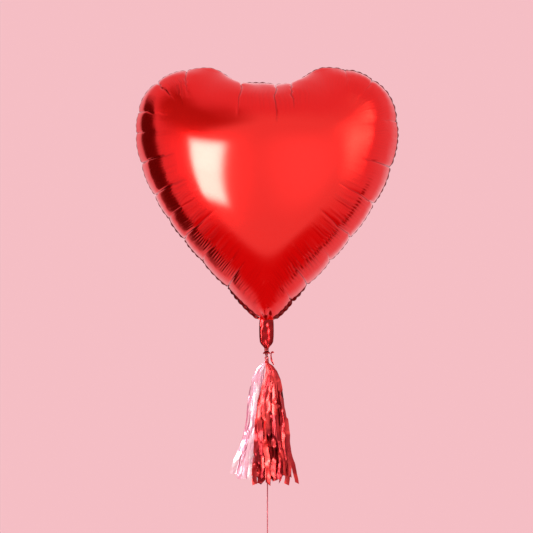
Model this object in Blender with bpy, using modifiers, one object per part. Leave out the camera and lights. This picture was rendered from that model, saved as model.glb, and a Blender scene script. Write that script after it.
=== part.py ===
"""Heart-shaped foil balloon with a tied neck, two fringe tassels and a ribbon.

Metres, +Z up, the front faces -Y.  The origin is the tie around the neck, the
point where the ribbon holds the balloon.
"""

import math

import bmesh
import bpy
import numpy as np
from mathutils import Vector

MM = 0.001

# Heart, inflated
TIP_HALF = 10.5 * MM            # half width of the neck passage at the heart's tip
TIP_Z = 46.0 * MM
HALF_WIDTH = 200.0 * MM
WIDEST_Z = 332.0 * MM
LOBE_X = 92.0 * MM
LOBE_TOP_Z = 430.0 * MM
CLEFT_HALF = 40.0 * MM          # half width of the taut bridge between the lobes
CLEFT_CORNER_Z = 408.5 * MM
CLEFT_Z = 406.0 * MM
DEPTH = 190.0 * MM
CENTRE_Z = 255.0 * MM

# Film and seal
FILM = 0.6 * MM
GAP = 0.3 * MM
SEAL_WIDTH = 5.5 * MM
BRIM_WIDTH = 4.9 * MM
SEAL_THICK = 0.4 * MM
SEAL_INSET = 0.8 * MM
SPOKES = 76
RINGS = 9

# Self-sealing valve
VALVE_WIDTH = 15.0 * MM
VALVE_BOTTOM_Z = 50.0 * MM
VALVE_TOP_Z = 150.0 * MM
VALVE_FILM = 0.3 * MM

# Neck
NECK_PROFILE = (                # height, half width, half depth
    (44.8 * MM, 10.4 * MM, 1.5 * MM),
    (40.0 * MM, 11.0 * MM, 3.2 * MM),
    (30.0 * MM, 11.2 * MM, 4.4 * MM),
    (20.0 * MM, 11.0 * MM, 4.4 * MM),
    (12.0 * MM, 10.4 * MM, 4.0 * MM),
    (8.0 * MM, 8.0 * MM, 3.7 * MM),
    (5.0 * MM, 5.0 * MM, 3.2 * MM),
    (2.9 * MM, 3.4 * MM, 2.7 * MM),
)
NECK_FILM = 0.5 * MM
NECK_SIDES = 14
NECK_SPLIT = 0.35 * MM          # half the gap between the two plies

# Tie
GATHER_RADIUS = 2.2 * MM
GATHER_FLARE = 2.9 * MM
GATHER_TOP_Z = 2.4 * MM
GATHER_BOTTOM_Z = -4.4 * MM
WRAP_RADIUS = 3.15 * MM
WRAP_STRING = 0.6 * MM
WRAP_PITCH = 1.55 * MM
WRAP_TURNS = 3
TIE_KNOT_RADIUS = 1.5 * MM
TIE_KNOT_Y = -5.6 * MM

# Hanger below the tie
KNOT_Z = -7.0 * MM
KNOT_RADIUS = 2.2 * MM
KNOT_HOLE = 0.95 * MM
HANGER_STRING = 0.55 * MM
HANGER_BOTTOM_Z = -11.7 * MM
HANGER_HALF = 3.5 * MM
HANGER_CORNER = 0.9 * MM

# Tassels
LOOP_Y = 1.95 * MM
LOOP_RADIUS = 2.2 * MM
LOOP_TUBE = 0.6 * MM
LOOP_TILT = math.radians(14.0)
BAND_RADIUS = 2.5 * MM
BAND_Y = 4.6 * MM
BAND_TOP_Z = -15.6 * MM
BAND_BOTTOM_Z = -18.6 * MM
CHANNEL = 1.8 * MM              # half the free width kept for the ribbon
FRINGE_SIDES = 12
RED_SECTIONS = (                # height, centre x, half width, half depth
    (-18.9 * MM, 0.3 * MM, 2.5 * MM, 2.6 * MM),
    (-24.0 * MM, 4.5 * MM, 7.0 * MM, 4.0 * MM),
    (-32.0 * MM, 7.5 * MM, 10.5 * MM, 5.5 * MM),
    (-45.0 * MM, 9.5 * MM, 14.0 * MM, 7.0 * MM),
    (-76.0 * MM, 7.0 * MM, 22.5 * MM, 9.0 * MM),
    (-110.0 * MM, 6.5 * MM, 26.5 * MM, 10.0 * MM),
    (-137.0 * MM, 7.0 * MM, 29.0 * MM, 10.5 * MM),
    (-170.0 * MM, 9.0 * MM, 32.5 * MM, 11.0 * MM),
    (-195.0 * MM, 7.5 * MM, 31.0 * MM, 11.0 * MM),
    (-204.0 * MM, 7.0 * MM, 29.0 * MM, 10.5 * MM),
)
PINK_SECTIONS = (
    (-18.9 * MM, -0.3 * MM, 2.5 * MM, 2.6 * MM),
    (-24.0 * MM, -5.5 * MM, 6.0 * MM, 4.0 * MM),
    (-32.0 * MM, -10.5 * MM, 8.0 * MM, 5.0 * MM),
    (-45.0 * MM, -13.5 * MM, 9.5 * MM, 6.5 * MM),
    (-76.0 * MM, -15.5 * MM, 13.5 * MM, 8.0 * MM),
    (-110.0 * MM, -17.0 * MM, 16.0 * MM, 9.5 * MM),
    (-137.0 * MM, -20.5 * MM, 17.0 * MM, 10.0 * MM),
    (-168.0 * MM, -27.5 * MM, 21.5 * MM, 10.5 * MM),
    (-190.0 * MM, -31.0 * MM, 22.5 * MM, 10.5 * MM),
    (-199.0 * MM, -31.0 * MM, 21.5 * MM, 10.0 * MM),
)
STRAND_RADIUS = 0.7 * MM
STRAND_Y = -8.4 * MM            # in front of the tie, so that it clears it in every swing
STRAND_ROUTE = (
    (10.8 * MM, -4.0 * MM),
    (9.2 * MM, -2.7 * MM),
    (7.4 * MM, -4.0 * MM),
    (6.8 * MM, -8.0 * MM),
    (7.7 * MM, -15.0 * MM),
    (10.0 * MM, -20.2 * MM),
    (10.9 * MM, -22.3 * MM),
)

# Ribbon
RIBBON_RADIUS = 0.9 * MM
RIBBON_POINTS = 72
RIBBON_ROUTE = (
    (1.45 * MM, -9.2 * MM),
    (2.2 * MM, -13.0 * MM),
    (2.8 * MM, -20.0 * MM),
    (3.0 * MM, -40.0 * MM),
    (2.2 * MM, -80.0 * MM),
    (1.6 * MM, -130.0 * MM),
    (1.4 * MM, -204.0 * MM),
    (1.5 * MM, -300.0 * MM),
)
END_KNOT_Z = -303.2 * MM
END_KNOT_RADIUS = 2.8 * MM
END_LOOP_RADIUS = 8.0 * MM

RED_FOIL = (0.72, 0.012, 0.014, 1.0)
RED_DARK = (0.45, 0.008, 0.012, 1.0)
RED_SATIN = (0.55, 0.02, 0.03, 1.0)
PINK_FILM = (0.85, 0.42, 0.62, 1.0)
RIBBON_RED = (0.35, 0.06, 0.08, 1.0)
CLEAR_FILM = (0.8, 0.8, 0.82, 1.0)


def clear_scene():
    for obj in list(bpy.data.objects):
        bpy.data.objects.remove(obj, do_unlink=True)


def new_collection(name):
    collection = bpy.data.collections.new(name)
    bpy.context.scene.collection.children.link(collection)
    return collection


def material(name, colour, metallic, roughness):
    mat = bpy.data.materials.new(name)
    mat.use_nodes = True
    shader = mat.node_tree.nodes["Principled BSDF"]
    shader.inputs["Base Color"].default_value = colour
    shader.inputs["Metallic"].default_value = metallic
    shader.inputs["Roughness"].default_value = roughness
    return mat


def finish(obj, mat, collection, origin=(0.0, 0.0, 0.0)):
    """Give the object its material and collection, and move its origin."""
    for old in list(obj.users_collection):
        old.objects.unlink(obj)
    collection.objects.link(obj)
    obj.data.materials.clear()
    obj.data.materials.append(mat)
    shift = Vector(origin)
    if obj.type == "MESH":
        for vertex in obj.data.vertices:
            vertex.co -= shift
        obj.data.shade_smooth()
        obj.data.set_sharp_from_angle(angle=math.radians(40.0))
    obj.location = obj.location + shift
    return obj


def mesh_object(name, verts, faces):
    mesh = bpy.data.meshes.new(name)
    mesh.from_pydata([tuple(v) for v in verts], [], [tuple(f) for f in faces])
    mesh.update()
    obj = bpy.data.objects.new(name, mesh)
    bpy.context.scene.collection.objects.link(obj)
    return obj


def apply_transform(obj):
    obj.data.transform(obj.matrix_basis)
    obj.matrix_basis.identity()
    return obj


def curve_to_mesh(obj):
    """Turn a curve object into a mesh object with welded caps."""
    graph = bpy.context.evaluated_depsgraph_get()
    mesh = bpy.data.meshes.new_from_object(obj.evaluated_get(graph))
    name = obj.name
    bpy.data.objects.remove(obj, do_unlink=True)
    work = bmesh.new()
    work.from_mesh(mesh)
    bmesh.ops.remove_doubles(work, verts=work.verts, dist=0.00001)
    work.to_mesh(mesh)
    work.free()
    mesh.name = name
    made = bpy.data.objects.new(name, mesh)
    bpy.context.scene.collection.objects.link(made)
    return made


def tube(name, points, radius, closed=False, resolution=2):
    """A round cord through the points, as a curve object with filled caps."""
    curve = bpy.data.curves.new(name, "CURVE")
    curve.dimensions = "3D"
    curve.bevel_depth = radius
    curve.bevel_resolution = resolution
    curve.use_fill_caps = True
    spline = curve.splines.new("POLY")
    spline.points.add(len(points) - 1)
    for slot, point in zip(spline.points, points):
        slot.co = (point[0], point[1], point[2], 1.0)
    spline.use_cyclic_u = closed
    obj = bpy.data.objects.new(name, curve)
    bpy.context.scene.collection.objects.link(obj)
    return obj


def bezier(start, first, second, end, count):
    """Points along a cubic, without the last one."""
    controls = [np.array(p) for p in (start, first, second, end)]
    points = []
    for t in np.linspace(0.0, 1.0, count, endpoint=False):
        weights = ((1 - t) ** 3, 3 * t * (1 - t) ** 2, 3 * t * t * (1 - t), t ** 3)
        points.append(sum(w * c for w, c in zip(weights, controls)))
    return points


def smooth_path(route, count):
    """A Catmull-Rom curve through the route, resampled at even steps."""
    knots = [np.array(p, dtype=float) for p in route]
    padded = [2 * knots[0] - knots[1]] + knots + [2 * knots[-1] - knots[-2]]
    dense = []
    for a, b, c, d in zip(padded, padded[1:], padded[2:], padded[3:]):
        for t in np.linspace(0.0, 1.0, 24, endpoint=False):
            dense.append(0.5 * (2 * b + (c - a) * t + (2 * a - 5 * b + 4 * c - d) * t * t
                                + (3 * b - a - 3 * c + d) * t ** 3))
    dense.append(knots[-1])
    return resample(np.array(dense), count)


def resample(points, count):
    steps = np.linalg.norm(np.diff(points, axis=0), axis=1)
    along = np.concatenate([[0.0], np.cumsum(steps)])
    targets = np.linspace(0.0, along[-1], count)
    return np.stack([np.interp(targets, along, points[:, k])
                     for k in range(points.shape[1])], axis=1)


def half_heart():
    """Outer edge of the right half, from the tip up to the middle of the cleft."""
    points = bezier((TIP_HALF, TIP_Z), (76 * MM, 112 * MM), (195 * MM, 212 * MM),
                    (HALF_WIDTH, WIDEST_Z), 60)
    points += bezier((HALF_WIDTH, WIDEST_Z), (HALF_WIDTH, 398 * MM),
                     (158 * MM, LOBE_TOP_Z), (LOBE_X, LOBE_TOP_Z), 60)
    points += bezier((LOBE_X, LOBE_TOP_Z), (70 * MM, LOBE_TOP_Z),
                     (56 * MM, 411 * MM), (CLEFT_HALF, CLEFT_CORNER_Z), 30)
    points += bezier((CLEFT_HALF, CLEFT_CORNER_Z), (26 * MM, CLEFT_Z + 0.4 * MM),
                     (12 * MM, CLEFT_Z), (0.0, CLEFT_Z), 20)
    points.append(np.array((0.0, CLEFT_Z)))
    return resample(np.array(points), SPOKES // 2 + 1)


def heart_outline():
    """The whole outer edge, from the tip's right corner to its left corner."""
    right = half_heart()
    left = right[::-1][1:] * np.array((-1.0, 1.0))
    return np.concatenate([right, left])


def inset(outline, distance):
    """The open outline moved inwards along its normals; the ends stay level."""
    tangent = np.gradient(outline, axis=0)
    tangent /= np.linalg.norm(tangent, axis=1)[:, None]
    inward = np.stack([-tangent[:, 1], tangent[:, 0]], axis=1)
    moved = outline + inward * distance
    for end in (0, -1):
        side = math.copysign(1.0, outline[end, 0])
        moved[end] = outline[end] - np.array((side * distance, 0.0))
    return moved


def membrane(points, faces, rim):
    """Deflection of an evenly loaded membrane held at the rim, between 0 and 1."""
    count = len(points)
    matrix = np.zeros((count, count))
    load = np.zeros(count)
    for face in faces:
        corners = points[list(face)]
        edges = np.roll(corners, -1, axis=0) - np.roll(corners, 1, axis=0)
        area = 0.5 * abs(edges[0, 0] * edges[1, 1] - edges[0, 1] * edges[1, 0])
        matrix[np.ix_(face, face)] += edges @ edges.T / (4.0 * area)
        load[list(face)] += area / 3.0
    free = np.setdiff1d(np.arange(count), rim)
    height = np.zeros(count)
    height[free] = np.linalg.solve(matrix[np.ix_(free, free)], load[free])
    return height / height.max()


def radial_net(rim_points):
    """Centre, rings and rim of the panel, with its triangles."""
    centre = np.array((0.0, CENTRE_Z))
    count = len(rim_points)
    points = [centre]
    for ring in range(1, RINGS + 1):
        share = math.sin(0.5 * math.pi * ring / RINGS)
        points.extend(centre + share * (rim_points - centre))
    faces = [(0, 1 + k, 1 + (k + 1) % count) for k in range(count)]
    for ring in range(RINGS - 1):
        inner = 1 + ring * count
        outer = inner + count
        for k in range(count):
            after = (k + 1) % count
            faces.append((inner + k, outer + k, outer + after))
            faces.append((inner + k, outer + after, inner + after))
    return np.array(points), faces


def panel(name, side):
    """One foil panel: the inflated dome and its flat brim, open at the neck."""
    outline = heart_outline()
    seal_line = inset(outline, SEAL_WIDTH)
    points, faces = radial_net(seal_line)
    count = len(seal_line)
    rim = np.arange(len(points) - count, len(points))
    level = 0.5 * SEAL_THICK + GAP + FILM
    height = np.sqrt(membrane(points, faces, rim)) * (0.5 * DEPTH - level)
    verts = [(p[0], side * (level + h), p[1]) for p, h in zip(points, height)]
    brim = inset(outline, SEAL_WIDTH - BRIM_WIDTH)
    first = len(verts)
    verts += [(p[0], side * level, p[1]) for p in brim]
    for k in range(count - 1):
        faces.append((rim[k], first + k, first + k + 1))
        faces.append((rim[k], first + k + 1, rim[k + 1]))
    if side > 0:
        faces = [face[::-1] for face in faces]
    obj = mesh_object(name, verts, faces)
    solid = obj.modifiers.new("film", "SOLIDIFY")
    solid.thickness = FILM
    solid.offset = -1.0
    return obj


def edge_seal():
    """The welded seam between the two plies, open at the neck passage."""
    outline = heart_outline()
    inner = inset(outline, SEAL_WIDTH - SEAL_INSET)
    verts = [(p[0], -0.5 * SEAL_THICK, p[1]) for p in outline]
    verts += [(p[0], -0.5 * SEAL_THICK, p[1]) for p in inner]
    count = len(outline)
    faces = [(k, k + 1, count + k + 1, count + k) for k in range(count - 1)]
    obj = mesh_object("edge_seal", verts, faces)
    solid = obj.modifiers.new("weld", "SOLIDIFY")
    solid.thickness = SEAL_THICK
    solid.offset = -1.0
    return obj


def box(name, low, high):
    bpy.ops.mesh.primitive_cube_add(size=1.0)
    obj = bpy.context.object
    obj.name = name
    low = Vector(low)
    high = Vector(high)
    obj.scale = high - low
    obj.location = 0.5 * (low + high)
    return apply_transform(obj)


def valve_film(name, side):
    near = side * 0.5 * GAP
    far = side * (0.5 * GAP + VALVE_FILM)
    return box(name, (-0.5 * VALVE_WIDTH, min(near, far), VALVE_BOTTOM_Z),
               (0.5 * VALVE_WIDTH, max(near, far), VALVE_TOP_Z))


def neck_ply(name, side):
    """Half of the flattened neck tube, tapering to the tie."""
    verts = []
    for z, half_width, half_depth in NECK_PROFILE:
        for k in range(NECK_SIDES + 1):
            angle = math.pi * k / NECK_SIDES
            bulge = half_depth * math.sin(angle)
            verts.append((-half_width * math.cos(angle), side * (NECK_SPLIT + bulge), z))
    row = NECK_SIDES + 1
    faces = []
    for level in range(len(NECK_PROFILE) - 1):
        for k in range(NECK_SIDES):
            a = level * row + k
            faces.append((a, a + row, a + row + 1, a + 1))
    if side > 0:
        faces = [face[::-1] for face in faces]
    obj = mesh_object(name, verts, faces)
    solid = obj.modifiers.new("film", "SOLIDIFY")
    solid.thickness = NECK_FILM
    solid.offset = -1.0
    return obj


def turned(name, profile, steps=20):
    """A closed solid of revolution about Z from (radius, z) pairs, top to bottom."""
    verts = [(radius, 0.0, z) for radius, z in profile]
    edges = [(k, k + 1) for k in range(len(profile) - 1)]
    mesh = bpy.data.meshes.new(name)
    mesh.from_pydata(verts, edges, [])
    obj = bpy.data.objects.new(name, mesh)
    bpy.context.scene.collection.objects.link(obj)
    screw = obj.modifiers.new("turn", "SCREW")
    screw.steps = steps
    screw.render_steps = steps
    screw.use_merge_vertices = True
    screw.merge_threshold = 0.00001
    return obj


def neck_gather():
    """The bunched film inside the tie, and the little frill below it."""
    profile = (
        (0.0, GATHER_TOP_Z),
        (GATHER_RADIUS, GATHER_TOP_Z),
        (GATHER_RADIUS, -2.4 * MM),
        (GATHER_FLARE, -3.8 * MM),
        (GATHER_FLARE - 0.4 * MM, GATHER_BOTTOM_Z),
        (0.0, GATHER_BOTTOM_Z),
    )
    return turned("neck_gather", profile)


def tie_wraps():
    """Three turns of string around the gathered neck."""
    per_turn = 16
    total = per_turn * WRAP_TURNS
    points = []
    for k in range(total + 1):
        angle = 2.0 * math.pi * k / per_turn
        z = WRAP_PITCH * (k / per_turn - 0.5 * WRAP_TURNS)
        points.append((WRAP_RADIUS * math.cos(angle), WRAP_RADIUS * math.sin(angle), z))
    return tube("tie_wraps", points, WRAP_STRING)


def ball(name, centre, radius, squash=(1.0, 1.0, 1.0)):
    bpy.ops.mesh.primitive_uv_sphere_add(segments=16, ring_count=10, radius=radius)
    obj = bpy.context.object
    obj.name = name
    obj.scale = squash
    obj.location = centre
    return apply_transform(obj)


def hanger_knot(cutters):
    """The knot under the tie, with an eye along Y for the hanger loop."""
    obj = ball("hanger_knot", (0.0, 0.0, KNOT_Z), KNOT_RADIUS)
    bpy.ops.mesh.primitive_cylinder_add(vertices=20, radius=KNOT_HOLE, depth=4 * KNOT_RADIUS,
                                        location=(0.0, 0.0, KNOT_Z),
                                        rotation=(0.5 * math.pi, 0.0, 0.0))
    cutter = apply_transform(bpy.context.object)
    cutter.name = "cut_knot_eye"
    cutter.hide_render = True
    cutter.display_type = "WIRE"
    for old in list(cutter.users_collection):
        old.objects.unlink(cutter)
    cutters.objects.link(cutter)
    cut = obj.modifiers.new("eye", "BOOLEAN")
    cut.operation = "DIFFERENCE"
    cut.object = cutter
    return obj


def hanger_loop():
    """A closed loop of string in the YZ plane, with straight top and bottom runs."""
    top = KNOT_Z
    bottom = HANGER_BOTTOM_Z
    half = HANGER_HALF - HANGER_CORNER
    centres = ((half, top - HANGER_CORNER, 90.0), (half, bottom + HANGER_CORNER, 0.0),
               (-half, bottom + HANGER_CORNER, -90.0), (-half, top - HANGER_CORNER, -180.0))
    points = []
    for y, z, start in centres:
        for k in range(6):
            angle = math.radians(start - 18.0 * k)
            points.append((0.0, y + HANGER_CORNER * math.cos(angle),
                           z + HANGER_CORNER * math.sin(angle)))
    return tube("hanger_loop", points, HANGER_STRING, closed=True)


def tassel_loop(name, side):
    """The twisted film loop that hangs on the hanger's bottom run."""
    top_z = HANGER_BOTTOM_Z + HANGER_STRING + LOOP_TUBE + GAP
    bpy.ops.mesh.primitive_torus_add(major_segments=24, minor_segments=8,
                                     major_radius=LOOP_RADIUS, minor_radius=LOOP_TUBE)
    obj = bpy.context.object
    obj.name = name
    tilt = side * LOOP_TILT
    obj.rotation_euler = (0.5 * math.pi + tilt, 0.0, 0.0)
    obj.location = (0.0, side * (LOOP_Y + LOOP_RADIUS * math.sin(LOOP_TILT)),
                    top_z - LOOP_RADIUS * math.cos(LOOP_TILT))
    return apply_transform(obj)


def tassel_band(name, side):
    """The band that binds the film under its loop."""
    height = BAND_TOP_Z - BAND_BOTTOM_Z
    bpy.ops.mesh.primitive_cylinder_add(vertices=20, radius=BAND_RADIUS, depth=height,
                                        location=(0.0, side * BAND_Y,
                                                  0.5 * (BAND_TOP_Z + BAND_BOTTOM_Z)))
    obj = apply_transform(bpy.context.object)
    obj.name = name
    bevel = obj.modifiers.new("edge", "BEVEL")
    bevel.width = 0.3 * MM
    bevel.segments = 2
    return obj


def fringe_half(name, sections, side, outer):
    """Half of a fringe, lofted: outer half faces away from the ribbon's channel."""
    verts = []
    direction = side if outer else -side
    for z, centre, half_width, half_depth in sections:
        split = side * (CHANNEL + half_depth)
        for k in range(FRINGE_SIDES + 1):
            angle = math.pi * k / FRINGE_SIDES
            y = split + direction * (0.5 * GAP + (half_depth - 0.5 * GAP) * math.sin(angle))
            verts.append((centre - half_width * math.cos(angle), y, z))
    row = FRINGE_SIDES + 1
    faces = []
    for level in range(len(sections) - 1):
        for k in range(row):
            a = level * row + k
            b = level * row + (k + 1) % row
            faces.append((a, a + row, b + row, b))
    faces.append(tuple(range(row)))
    last = (len(sections) - 1) * row
    faces.append(tuple(range(last + row - 1, last - 1, -1)))
    if direction > 0:
        faces = [face[::-1] for face in faces]
    return mesh_object(name, verts, faces)


def loose_strand():
    """A narrow twisted film end that stands up beside the red tassel's head."""
    route = [(x, STRAND_Y, z) for x, z in STRAND_ROUTE]
    return tube("red_loose_strand", smooth_path(route, 18), STRAND_RADIUS)


def ribbon():
    route = [(x, 0.0, z) for x, z in RIBBON_ROUTE]
    return tube("ribbon", smooth_path(route, RIBBON_POINTS), RIBBON_RADIUS)


def end_loop():
    """The finger loop below the ribbon's end knot."""
    centre_z = END_KNOT_Z - END_KNOT_RADIUS - GAP - RIBBON_RADIUS - 1.3 * END_LOOP_RADIUS
    points = []
    for k in range(32):
        angle = 2.0 * math.pi * k / 32
        points.append((RIBBON_ROUTE[-1][0] + END_LOOP_RADIUS * math.sin(angle), 0.0,
                       centre_z + 1.3 * END_LOOP_RADIUS * math.cos(angle)))
    return tube("ribbon_end_loop", points, RIBBON_RADIUS, closed=True)


def build():
    clear_scene()
    parts = new_collection("heart_foil_balloon")
    cutters = new_collection("cutters")

    foil = material("foil", RED_FOIL, 1.0, 0.16)
    seam = material("seam", RED_DARK, 1.0, 0.25)
    clear = material("clear_film", CLEAR_FILM, 0.0, 0.3)
    string = material("string", RED_DARK, 0.0, 0.6)
    red = material("red_tassel_film", RED_SATIN, 0.8, 0.35)
    pink = material("pink_tassel_film", PINK_FILM, 0.5, 0.3)
    tape = material("ribbon", RIBBON_RED, 0.0, 0.5)

    finish(panel("front_panel", -1), foil, parts)
    finish(panel("back_panel", 1), foil, parts)
    finish(edge_seal(), seam, parts)
    finish(valve_film("valve_front_film", -1), clear, parts)
    finish(valve_film("valve_back_film", 1), clear, parts)

    neck_pivot = (0.0, 0.0, TIP_Z)
    finish(neck_ply("neck_front_ply", -1), foil, parts, neck_pivot)
    finish(neck_ply("neck_back_ply", 1), foil, parts, neck_pivot)
    finish(neck_gather(), foil, parts, neck_pivot)
    finish(curve_to_mesh(tie_wraps()), string, parts, neck_pivot)
    finish(ball("tie_knot", (0.6 * MM, TIE_KNOT_Y, 0.2 * MM), TIE_KNOT_RADIUS,
                (1.15, 1.0, 1.05)), string, parts, neck_pivot)

    knot_pivot = (0.0, 0.0, KNOT_Z)
    finish(hanger_knot(cutters), string, parts)
    finish(curve_to_mesh(hanger_loop()), string, parts, knot_pivot)
    finish(curve_to_mesh(ribbon()), tape, parts, knot_pivot)
    finish(ball("ribbon_end_knot", (RIBBON_ROUTE[-1][0], 0.0, END_KNOT_Z),
                END_KNOT_RADIUS), tape, parts, knot_pivot)
    finish(curve_to_mesh(end_loop()), tape, parts, knot_pivot)

    tassel_pivot = (0.0, 0.0, HANGER_BOTTOM_Z)
    for colour, film, sections, side in (("red", red, RED_SECTIONS, -1),
                                         ("pink", pink, PINK_SECTIONS, 1)):
        finish(tassel_loop(colour + "_tassel_loop", side), film, parts, tassel_pivot)
        finish(tassel_band(colour + "_tassel_band", side), film, parts, tassel_pivot)
        finish(fringe_half(colour + "_fringe_outer", sections, side, True), film, parts,
               tassel_pivot)
        finish(fringe_half(colour + "_fringe_inner", sections, side, False), film, parts,
               tassel_pivot)
    finish(curve_to_mesh(loose_strand()), red, parts, tassel_pivot)


build()
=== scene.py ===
"""Heart-shaped foil balloon with a tied neck, two fringe tassels and a ribbon."""

import math

import bpy
import numpy as np
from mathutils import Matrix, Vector
from mathutils.bvhtree import BVHTree
from mathutils.geometry import delaunay_2d_cdt


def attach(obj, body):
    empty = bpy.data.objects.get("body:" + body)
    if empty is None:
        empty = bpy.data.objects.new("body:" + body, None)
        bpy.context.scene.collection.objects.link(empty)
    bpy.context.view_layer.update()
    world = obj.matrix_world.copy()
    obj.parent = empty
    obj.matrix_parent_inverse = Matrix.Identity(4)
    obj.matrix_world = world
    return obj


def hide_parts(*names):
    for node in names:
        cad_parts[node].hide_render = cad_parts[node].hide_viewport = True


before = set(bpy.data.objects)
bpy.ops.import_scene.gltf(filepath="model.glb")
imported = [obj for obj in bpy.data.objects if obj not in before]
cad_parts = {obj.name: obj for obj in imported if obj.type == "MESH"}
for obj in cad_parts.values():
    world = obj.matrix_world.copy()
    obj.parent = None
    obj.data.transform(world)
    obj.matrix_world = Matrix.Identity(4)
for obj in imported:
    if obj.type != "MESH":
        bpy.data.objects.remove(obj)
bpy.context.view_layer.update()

MM = 0.001
SCENE = bpy.context.scene


def new_object(name, data):
    obj = bpy.data.objects.new(name, data)
    SCENE.collection.objects.link(obj)
    return obj


# ---- camera

CAMERA_DISTANCE = 2.8
CAMERA_HEIGHT = 0.127
FRAME_HEIGHT = 0.811            # height of the view at the balloon


def make_camera():
    data = bpy.data.cameras.new("camera")
    data.lens = data.sensor_width * CAMERA_DISTANCE / FRAME_HEIGHT
    camera = new_object("camera", data)
    camera.location = (0.0, -CAMERA_DISTANCE, CAMERA_HEIGHT)
    camera.rotation_euler = (0.5 * math.pi, 0.0, 0.0)
    SCENE.camera = camera


make_camera()


# ---- materials

def connect(tree, node, fixed=(), linked=()):
    """Sets some of a node's sockets to values and links others."""
    for socket, value in dict(fixed).items():
        node.inputs[socket].default_value = value
    for socket, source in dict(linked).items():
        tree.links.new(source, node.inputs[socket])
    return node


def add_node(tree, kind, fixed=(), linked=(), **settings):
    node = tree.nodes.new("ShaderNode" + kind)
    for key, value in settings.items():
        setattr(node, key, value)
    return connect(tree, node, fixed, linked)


def new_material(name):
    material = bpy.data.materials.new(name)
    material.use_nodes = True
    return material, material.node_tree, material.node_tree.nodes["Principled BSDF"]


def own_place(tree):
    """The place in the object's own space."""
    return add_node(tree, "TexCoord").outputs["Object"]


def noise(tree, scale, detail=3.0, stretch=(1.0, 1.0, 1.0)):
    mapping = add_node(tree, "Mapping", {"Scale": stretch}, {"Vector": own_place(tree)})
    return add_node(tree, "TexNoise", {"Scale": scale, "Detail": detail},
                    {"Vector": mapping.outputs["Vector"]}).outputs["Fac"]


def ranged(tree, value, low, high, start=0.3, end=0.7, kind="LINEAR"):
    """The value mapped from start..end to low..high."""
    limits = {"From Min": start, "From Max": end, "To Min": low, "To Max": high}
    return add_node(tree, "MapRange", limits, {"Value": value},
                    interpolation_type=kind).outputs["Result"]


def two_tone(tree, value, first, second):
    return add_node(tree, "Mix", {"A": (*first, 1.0), "B": (*second, 1.0)},
                    {"Factor": value}, data_type="RGBA").outputs["Result"]


def bump(tree, height, distance, **under):
    return add_node(tree, "Bump", {"Distance": distance, "Strength": 1.0},
                    {"Height": height, **under}).outputs["Normal"]


def combined(tree, operation, first, second):
    return add_node(tree, "Math", linked={0: first, 1: second},
                    operation=operation).outputs["Value"]


def point_value(tree, name):
    """The mesh's own value of that name."""
    return add_node(tree, "Attribute", attribute_name=name).outputs["Fac"]


def film(name, light, dark, metallic, rough, coat=0.0, coat_rough=0.1, grain=(400.0, 30.0),
         depth=0.05, stretch=(1.0, 1.0, 1.0), shift=60.0, toned=0.0):
    """Metallised film: slow colour shift, uneven gloss, and a fine crinkle.

    With toned above 0 the mesh's tone, 0 dark to 1 light, sets that share of the colour. The
    tone carries painted shade on the foil and painted light and shade on the tassels.
    """
    material, tree, shader = new_material(name)
    share = ranged(tree, noise(tree, shift, 2.0), 0.0, 1.0 - toned)
    if toned:
        tone = ranged(tree, point_value(tree, "tone"), toned, 0.0, 0.0, 1.0)
        share = combined(tree, "ADD", share, tone)
    fine = bump(tree, noise(tree, grain[0], 3.0, stretch), depth * MM)
    wide = bump(tree, noise(tree, grain[1], 2.0, stretch), 6.0 * depth * MM, Normal=fine)
    connect(tree, shader, {"Metallic": metallic, "Coat Weight": coat,
                           "Coat Roughness": coat_rough, "Coat IOR": 1.45},
            {"Base Color": two_tone(tree, share, light, dark), "Normal": wide,
             "Roughness": ranged(tree, noise(tree, 3.0 * shift, 4.0), *rough)})
    return material


def string_material():
    """Twisted red cord, matt; a fine fibre noise mixes in a darker red, painted shade for the
    gaps between its plies.
    """
    material, tree, shader = new_material("red_string")
    fibres = noise(tree, 2600.0, 4.0, (1.0, 1.0, 0.25))
    colour = two_tone(tree, ranged(tree, fibres, 0.0, 1.0), (0.5, 0.012, 0.02),
                      (0.24, 0.003, 0.008))
    connect(tree, shader, {"Sheen Weight": 0.08},
            {"Base Color": colour, "Roughness": ranged(tree, fibres, 0.3, 0.5),
             "Normal": bump(tree, fibres, 0.08 * MM)})
    return material


def clear_material():
    material, tree, shader = new_material("clear_film")
    haze = noise(tree, 90.0, 3.0)
    connect(tree, shader, {"Transmission Weight": 0.9},
            {"Base Color": two_tone(tree, haze, (0.86, 0.86, 0.88), (0.78, 0.78, 0.8)),
             "Roughness": ranged(tree, haze, 0.18, 0.35),
             "Normal": bump(tree, noise(tree, 300.0), 0.05 * MM)})
    return material


TASSEL = {"coat_rough": 0.25, "grain": (700.0, 130.0), "depth": 0.05,
          "stretch": (1.0, 1.0, 0.35), "shift": 45.0, "toned": 0.85}
# FOIL's dark red is painted shade: the tone lays it along the creases and in the troughs of the
# fine wrinkles.
FOIL = film("red_foil", (0.86, 0.008, 0.006), (0.3, 0.0, 0.002), 1.0, (0.15, 0.19),
            coat=0.75, coat_rough=0.12, grain=(900.0, 45.0), depth=0.008, shift=9.0,
            toned=0.95)
SEAM = film("red_seam", (0.2, 0.004, 0.006), (0.1, 0.002, 0.003), 1.0, (0.22, 0.34),
            coat=0.4, coat_rough=0.2, grain=(700.0, 120.0), depth=0.05)
# NECK is painted shade: a much darker copy of the red foil, for the neck and its gathered end.
NECK = film("red_neck", (0.28, 0.003, 0.006), (0.14, 0.001, 0.003), 1.0, (0.26, 0.36),
            coat=0.25, coat_rough=0.2, grain=(500.0, 110.0), depth=0.008)
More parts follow.
